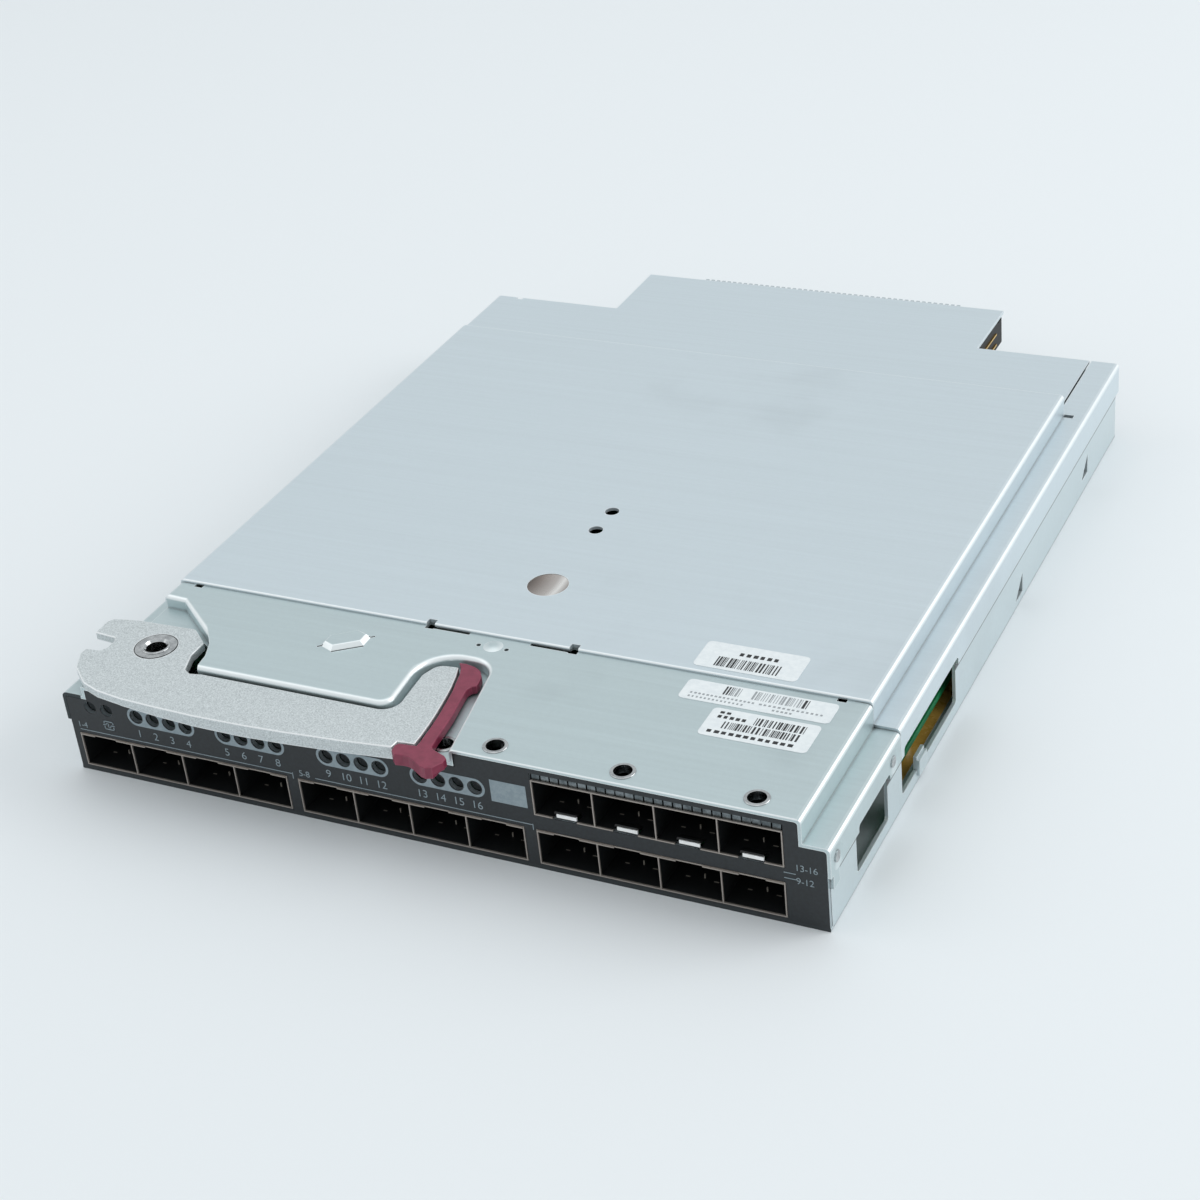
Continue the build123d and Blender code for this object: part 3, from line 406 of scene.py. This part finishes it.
def shift_half(piece, axis, place, move):
    """Moves the points that lie past a place along an axis."""
    bpy.ops.object.mode_set(mode="EDIT")
    mesh = bmesh.from_edit_mesh(piece.data)
    for point in mesh.verts:
        point.select = (piece.matrix_world @ point.co)[axis] > place
    mesh.select_flush_mode()
    bmesh.update_edit_mesh(piece.data)
    bpy.ops.transform.translate(value=move)
    bpy.ops.object.mode_set(mode="OBJECT")


def cut_with(piece, tools):
    """Takes the tools' shapes out of a piece and removes the tools."""
    clear_selection()
    for tool in tools:
        tool.select_set(True)
    bpy.context.view_layer.objects.active = tools[0]
    if len(tools) > 1:
        bpy.ops.object.join()
    cutter = bpy.context.view_layer.objects.active
    clear_selection()
    piece.select_set(True)
    bpy.context.view_layer.objects.active = piece
    hollow = piece.modifiers.new("cut", "BOOLEAN")
    hollow.operation = "DIFFERENCE"
    hollow.object = cutter
    hollow.solver = "EXACT"
    bpy.ops.object.modifier_apply(modifier=hollow.name)
    bpy.data.objects.remove(cutter, do_unlink=True)


def settle(pieces, name, body, finish):
    """Joins pieces that were modelled in millimetres, sets their real size and place."""
    clear_selection()
    for piece in pieces:
        piece.select_set(True)
    bpy.context.view_layer.objects.active = pieces[0]
    if len(pieces) > 1:
        bpy.ops.object.join()
    whole = bpy.context.view_layer.objects.active
    whole.name = name
    bpy.ops.object.transform_apply(location=True, rotation=True, scale=True)
    whole.scale = (0.001, 0.001, 0.001)
    bpy.ops.object.transform_apply(location=False, rotation=False, scale=True)
    bpy.ops.object.mode_set(mode="EDIT")
    bpy.ops.mesh.select_all(action="SELECT")
    bpy.ops.mesh.normals_make_consistent(inside=False)
    bpy.ops.object.mode_set(mode="OBJECT")
    whole.data.materials.clear()
    whole.data.materials.append(finish)
    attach(whole, body)


def slab(x0, x1, y0, y1, z0, z1):
    """A box between two places on each axis, in millimetres."""
    clear_selection()
    middle = ((x0 + x1) / 2, (y0 + y1) / 2, (z0 + z1) / 2)
    bpy.ops.mesh.primitive_cube_add(size=1.0, location=middle)
    piece = bpy.context.active_object
    piece.scale = (x1 - x0, y1 - y0, z1 - z0)
    bpy.ops.object.transform_apply(location=True, rotation=True, scale=True)
    return piece


def upright(radius, depth, x, y, z, corners=48):
    """A cylinder along the front-to-back axis."""
    clear_selection()
    bpy.ops.mesh.primitive_cylinder_add(vertices=corners, radius=radius, depth=depth,
                                        location=(x, y, z), rotation=(math.pi / 2, 0, 0))
    return bpy.context.active_object


for first in group_x:
    field = upright(lozenge_r, ink_skin, first, ink_y, light_z)
    bpy.ops.object.transform_apply(location=True, rotation=True, scale=True)
    shift_half(field, 0, first + 0.01, (3 * light_pitch, 0, 0))
    holes = [upright(light_hole_r, 1.0, first + i * light_pitch, ink_y, light_z, 40) for i in range(4)]
    cut_with(field, holes)
    marks.append(field)


def inked(x0, x1, z0, z1):
    """A flat bar of ink on the face."""
    return slab(x0, x1, ink_y - ink_skin / 2, ink_y + ink_skin / 2, z0, z1)


def written(text, x, z, height, spread=1.0):
    """Flat lettering on the face, centred at a place."""
    clear_selection()
    bpy.ops.object.text_add(location=(x, ink_y, z), rotation=(math.pi / 2, 0, 0))
    line = bpy.context.active_object
    line.data.body = text
    line.data.size = height / capital_share
    line.data.align_x = "CENTER"
    line.data.space_character = spread
    line.data.offset = -0.012 * height
    line.data.extrude = ink_skin / 2
    bpy.ops.object.convert(target="MESH")
    return bpy.context.active_object


port = 0
for first in group_x:
    for i in range(4):
        port += 1
        marks.append(written(str(port), first + i * light_pitch, 13.0, 2.0))
for text, x, z in (("1-4", -91.4, 12.4), ("5-8", -30.4, 11.6),
                   ("9-12", 89.6, 11.0), ("13-16", 90.0, 14.4)):
    marks.append(written(text, x, z, 1.6, 0.95))
for x0, x1, z in ((-92.4, -33.6, 11.75), (-27.6, 27.2, 11.75), (85.0, 87.6, 12.0), (85.0, 87.6, 13.4)):
    marks.append(inked(x0, x1, z - row_line / 2, z + row_line / 2))
for x, z0, z1 in ((-33.6, 10.4, 12.1), (27.2, 10.4, 12.0)):
    marks.append(inked(x - row_line / 2, x + row_line / 2, z0, z1))
for x0, x1, z0, z1 in ((-84.9, -82.2, 15.4, 15.6), (-84.9, -82.2, 13.2, 13.4), (-84.9, -84.7, 13.2, 14.1),
                       (-84.9, -84.7, 14.8, 15.6), (-82.4, -82.2, 13.2, 14.1), (-82.4, -82.2, 14.8, 15.6),
                       (-85.2, -84.2, 14.35, 14.55), (-84.4, -84.2, 14.35, 15.1), (-84.4, -83.6, 14.9, 15.1),
                       (-83.8, -83.6, 13.7, 15.1), (-83.8, -83.0, 13.7, 13.9), (-83.2, -83.0, 13.7, 14.55),
                       (-83.2, -81.9, 14.35, 14.55)):
    marks.append(inked(x0, x1, z0, z1))
marks.append(inked(17.8, 26.5, 16.0, 21.7))
settle(marks, "front_print", "chassis", ink)

# Port cages and spring fingers
# Four folded cages of thin tinned sheet hold sixteen ports. Their cut edges at the front face keep
# the tin's bright colour, and the insides are painted near black as painted shade, apart from the
# sprung lips at the mouth, which carry a painted highlight.
bright_edge_depth = 0.0003
cage_finish, cage_tree, cage_shader = grain_finish(
    "cage_tin", "#101112", "#1A1B1C", 700.0, (0.35, 0.55), 0.1)[:3]
# Painted shade: near black past the bright front edge, for the dark inside of each port.
split_at(cage_tree, cage_shader, "Base Color", "Y", front_y + bright_edge_depth, "#A79F98", "#17191A")
split_at(cage_tree, cage_shader, "Metallic", "Y", front_y + bright_edge_depth, 0.7, 0.1)
dress(cage_finish, "cage_lower_left", "cage_lower_middle", "cage_lower_right", "cage_upper_right")
finger_tin = grain_finish("finger_tin", "#596063", "#878E91", 500.0, (0.2, 0.35), 0.1, 1.0)[0]
dress(finger_tin, "gasket_strip")
port_pitch = 14.25
lower_floor, upper_floor = 1.8, 14.9
port_rows = ((-92.4, lower_floor), (-32.1, lower_floor), (28.2, lower_floor), (28.2, upper_floor))
lip_glints, stamps = [], []
for row_x, floor in port_rows:
    for i in range(4):
        middle = row_x + i * port_pitch + port_pitch / 2 - 0.15
        # Painted highlight: a thin white slab at each upper port's lip stands in for its shine.
        if floor == upper_floor:
            lip_glints.append(slab(middle - 1.95, middle + 2.75, -111.55, -111.1, floor + 0.1, floor + 0.95))
        for x, y, wide, high in ((middle - 3.9, -106.2, 1.0, 0.03), (middle + 0.2, -105.6, 0.25, 1.1),
                                 (middle + 2.6, -106.2, 1.2, 0.03)):
            stamps.append(slab(x, x + wide, y, y + 0.3, floor, floor + high))
lip_glint_white = grain_finish("lip_glint_white", "#F4F4F2", "#FFFFFF", 500.0, (0.1, 0.2), 0.03, 0.2)[0]
settle(lip_glints, "port_lip_glints", "chassis", lip_glint_white)
stamp_grey = grain_finish("stamp_grey", "#8F897F", "#A39D93", 500.0, (0.3, 0.5), 0.05)[0]
settle(stamps, "port_floor_stamps", "chassis", stamp_grey)

# Host connectors
# Black moulded connectors close the back of each port and take the plug's card edge. The
# chips and the rear sockets have the same black, and the rear teeth end in pale grey.
host_black = grain_finish("host_black", "#0B0B0C", "#141415", 900.0, (0.5, 0.7), 0.1)[0]
dress(host_black, "host_connectors_lower_left", "host_connectors_lower_middle",
      "host_connectors_lower_right", "host_connectors_upper_right", "control_chip",
      "retimer_chip_left", "retimer_chip_middle", "retimer_chip_right", "retimer_chip_far_right",
      "power_connector", "guide_socket")
teeth_y = 0.1366
comb_grey, comb_tree, comb_shader, comb_grain = grain_finish(
    "comb_grey", "#101112", "#19191B", 900.0, (0.5, 0.7), 0.1)
split_at(comb_tree, comb_shader, "Base Color", "Y", teeth_y,
         "#121314", "#AEB8BC", comb_grain.outputs["Color"])
dress(comb_grey, "signal_connector")

# Circuit board and what it carries
# Glass laminate under green mask, held on metal posts by small screws. It carries coils,
# capacitors, lamps and a black finned heat sink, and gold blades stand at its rear.
board_green = grain_finish("board_green", "#0E5A35", "#1B7A4A", 260.0, (0.3, 0.45), 0.15)[0]
dress(board_green, "main_board", "lower_board", "power_converter")
dress(grain_finish("amber_film", "#A8853C", "#C09A4C", 200.0, (0.2, 0.35), 0.03)[0], "floor_film")
post_steel = grain_finish("post_steel", "#A9ABAC", "#C9CBCC", 900.0, (0.2, 0.32), 0.05, 1.0)[0]
dress(post_steel, "board_standoffs", "board_screws", "capacitors", "latch_pin", "latch_spring",
      "side_rivets")
dress(grain_finish("fin_black", "#141516", "#202122", 700.0, (0.35, 0.5), 0.05, 0.6)[0], "heat_sink")
dress(grain_finish("ferrite_grey", "#333436", "#45474A", 600.0, (0.5, 0.7), 0.2)[0], "power_coils")
dress(grain_finish("lamp_white", "#D8D6CC", "#E8E6DC", 900.0, (0.4, 0.5), 0.05)[0], "board_lights")
dress(grain_finish("blade_gold", "#C79A45", "#E0B860", 900.0, (0.2, 0.3), 0.05, 1.0)[0], "power_blades")

# Light pipes
# Clear moulded rods carry the board lights to the holes in the front plate. They are painted near
# black as painted shade for the clear plastic deep in the holes, with a dark edge where their ends lie in
# the holes.
pipe_painted_dark = grain_finish("pipe_clear", "#0A0C0D", "#15191B", 400.0, (0.12, 0.2), 0.05)[0]
dress(pipe_painted_dark, "light_pipe_status", "light_pipe_1_to_4", "light_pipe_5_to_8",
      "light_pipe_9_to_12", "light_pipe_13_to_16")

# Eyelets and pivot bush
# Rolled nickel-plated eyelets join the deck to the front plate's return, and the wide
# flanged bush carries the lever.
bright_nickel, bright_tree, bright_shader, bright_grain = grain_finish(
    "bright_nickel", "#A9ABAC", "#CBCDCD", 600.0, (0.16, 0.28), 0.05, 1.0)
# Painted highlights on their rims and painted shade in the creases round them.
edge_light(bright_tree, bright_shader, bright_grain.outputs["Color"], "#FFFFFF", 0.0002, 0.0009, 0.5, 0.85)
dress(bright_nickel, "deck_eyelets", "pivot_bush")

# Eject lever
# A flat cam lever of cast metal in sparkling silver paint. Its claws reach past the left
# side wall, and its front edge hangs over the printed face.
sparkle, sparkle_tree, sparkle_shader, sparkle_grain = grain_finish(
    "silver_paint", "#B2B9BA", "#E0E6E7", 3800.0, (0.34, 0.50), 0.25, 0.45)
# Painted highlights on the lever's edges and bends, and painted shade in its creases.
edge_light(sparkle_tree, sparkle_shader, sparkle_grain.outputs["Color"], "#FBFCFC",
           0.0004, 0.0012, 0.85, 0.6, 0.75)
dress(sparkle, "lever")

# Release latch
# A moulded burgundy bar with a thumb head, satin, a little darker in its corners as painted shade,
# with painted highlights on its edges.
burgundy, burgundy_tree, burgundy_shader, burgundy_grain = grain_finish(
    "burgundy_moulding", "#782840", "#86324A", 500.0, (0.34, 0.44), 0.04)
edge_light(burgundy_tree, burgundy_shader, burgundy_grain.outputs["Color"], "#B8607A",
           0.00025, 0.001, 0.5, 0.5)
dress(burgundy, "release_latch")

# Labels
# Three rounded paper labels lie on the cover and the deck, printed with rows of black and
# grey bars and dashes.
paper = grain_finish("label_paper", "#DDE3E5", "#E6EBEC", 600.0, (0.5, 0.6), 0.04)[0]
dress(paper, "label_cover", "label_deck_long", "label_deck_square")
label_black = grain_finish("label_black", "#17181A", "#242628", 800.0, (0.4, 0.5), 0.03)[0]
label_grey = grain_finish("label_grey", "#8F9497", "#A0A5A8", 800.0, (0.4, 0.5), 0.03)[0]
label_ink = 0.02
pick = random.Random(7)


def bar_row(label, across, along, narrow=0.16):
    """Upright bars of random width over a share of a label's width and depth."""
    low, high = [corner * 1000 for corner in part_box(label)]
    wide, deep, top = high.x - low.x, high.y - low.y, high.z
    x, end = low.x + across[0] * wide, low.x + across[1] * wide
    bars = []
    while x < end:
        bar = narrow * pick.choice((1, 1, 2, 3))
        bars.append(slab(x, x + bar, low.y + along[0] * deep, low.y + along[1] * deep,
                         top, top + label_ink))
        x += bar + narrow * pick.choice((1, 1.5, 2, 3))
    return bars


def dash_row(label, across, along, count, gap=0.3):
    """Short dashes of random length over a share of a label's width and depth."""
    low, high = [corner * 1000 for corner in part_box(label)]
    wide, deep, top = high.x - low.x, high.y - low.y, high.z
    step = (across[1] - across[0]) * wide / count
    dashes = []
    for i in range(count):
        x = low.x + across[0] * wide + i * step
        length = step * (1 - gap) * pick.uniform(0.8, 1.0)
        dashes.append(slab(x, x + length, low.y + along[0] * deep, low.y + along[1] * deep,
                           top, top + label_ink))
    return dashes


settle(bar_row("label_cover", (0.19, 0.8), (0.1, 0.47))
       + dash_row("label_cover", (0.36, 0.76), (0.6, 0.72), 6)
       + bar_row("label_deck_square", (0.42, 0.88), (0.62, 0.88))
       + bar_row("label_deck_square", (0.17, 0.86), (0.32, 0.57))
       + dash_row("label_deck_square", (0.08, 0.36), (0.66, 0.76), 5)
       + dash_row("label_deck_square", (0.08, 0.2), (0.82, 0.9), 2)
       + dash_row("label_deck_square", (0.07, 0.88), (0.12, 0.22), 12)
       + bar_row("label_deck_long", (0.26, 0.3), (0.5, 0.92), 0.2)
       + bar_row("label_deck_long", (0.78, 0.82), (0.5, 0.92), 0.2),
       "label_black_bars", "chassis", label_black)
settle(bar_row("label_deck_long", (0.31, 0.37), (0.5, 0.92))
       + bar_row("label_deck_long", (0.45, 0.77), (0.5, 0.92))
       + dash_row("label_deck_long", (0.06, 0.5), (0.3, 0.38), 16, 0.4)
       + dash_row("label_deck_long", (0.52, 0.95), (0.3, 0.38), 14, 0.4)
       + dash_row("label_deck_long", (0.06, 0.44), (0.12, 0.2), 14, 0.5)
       + dash_row("label_deck_long", (0.62, 0.76), (0.12, 0.2), 5, 0.4),
       "label_grey_bars", "chassis", label_grey)

# Floor, light and camera
# A pale studio table under soft light, seen from high on the front right.
table = new_finish("table_white", "#E7EBED", 0.6)[0]
clear_selection()
bpy.ops.mesh.primitive_plane_add(size=8.0, location=(0, 0, -0.00005))
ground = bpy.context.active_object
ground.name = "studio_table"
ground.data.materials.append(table)
world = bpy.data.worlds.new("studio")
bpy.context.scene.world = world
world.use_nodes = True
air = world.node_tree
air.nodes["Background"].inputs["Color"].default_value = tint("#EEF3F6")
air.nodes["Background"].inputs["Strength"].default_value = 0.80


def softbox(name, place, size, power):
    """A square white lamp that looks at the origin."""
    lamp = bpy.data.lights.new(name, "AREA")
    lamp.size = size
    lamp.energy = power
    holder = bpy.data.objects.new(name, lamp)
    bpy.context.scene.collection.objects.link(holder)
    holder.location = place
    holder.rotation_euler = (-Vector(place)).to_track_quat("-Z", "Y").to_euler()


softbox("overhead", (-0.2, 0.1, 1.8), 1.6, 4.5)
softbox("right_side", (1.4, 0.6, 0.9), 1.2, 12.0)
softbox("left_fill", (-1.2, -0.3, 0.9), 1.0, 2.0)

camera = bpy.data.cameras.new("view")
camera.lens = 70.873
camera.sensor_width = 36.0
camera.clip_start = 0.01
eye = bpy.data.objects.new("view", camera)
bpy.context.scene.collection.objects.link(eye)
right = Vector((0.90058, 0.42429, -0.09451))
up = Vector((-0.15044, 0.50820, 0.84800))
away = Vector((0.40783, -0.74947, 0.52151))
turn = Matrix((right, up, away)).transposed().to_4x4()
eye.matrix_world = Matrix.Translation((0.23952, -0.46083, 0.31547)) @ turn
bpy.context.scene.camera = eye
bpy.context.scene.view_settings.view_transform = "Standard"
